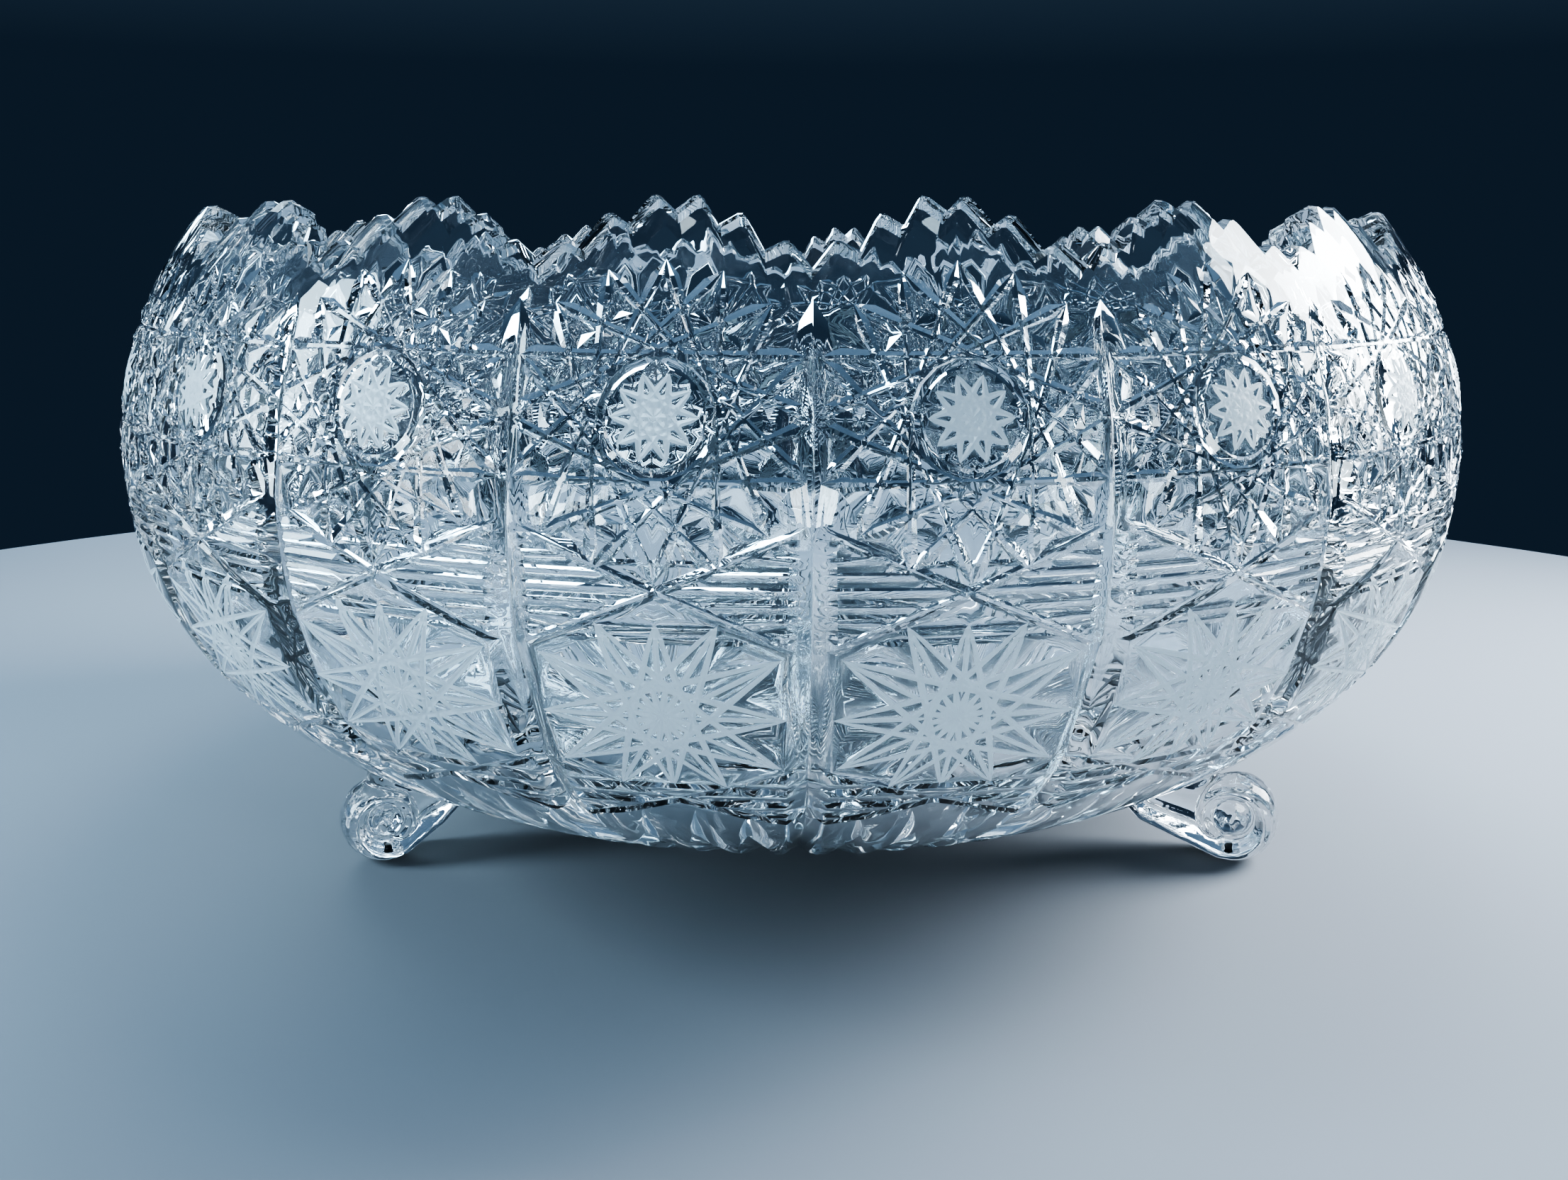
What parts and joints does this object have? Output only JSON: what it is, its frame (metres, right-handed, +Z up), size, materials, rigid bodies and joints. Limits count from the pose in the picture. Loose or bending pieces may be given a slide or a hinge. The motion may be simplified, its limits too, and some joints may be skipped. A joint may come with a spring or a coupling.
{
  "type": "punch bowl",
  "caption": "Footed cut-crystal punch bowl with a scalloped, toothed rim and scroll feet, for serving punch or fruit on a table.",
  "frame": {"origin": "on the floor, under the middle of the bowl", "axes": "+Z up along the bowl's axis, -Y towards the front, midway between the two front feet"},
  "size_m": [0.2798, 0.2798, 0.1343],
  "materials": {
    "cut_crystal": "clear polished lead crystal with frosted, wheel-cut stars",
    "foot_glass": "clear fire-polished glass"
  },
  "bodies": {
    "root": {"bowl": "cut_crystal", "foot_front_left": "foot_glass", "foot_front_right": "foot_glass", "foot_back": "foot_glass"}
  },
  "joints": []
}
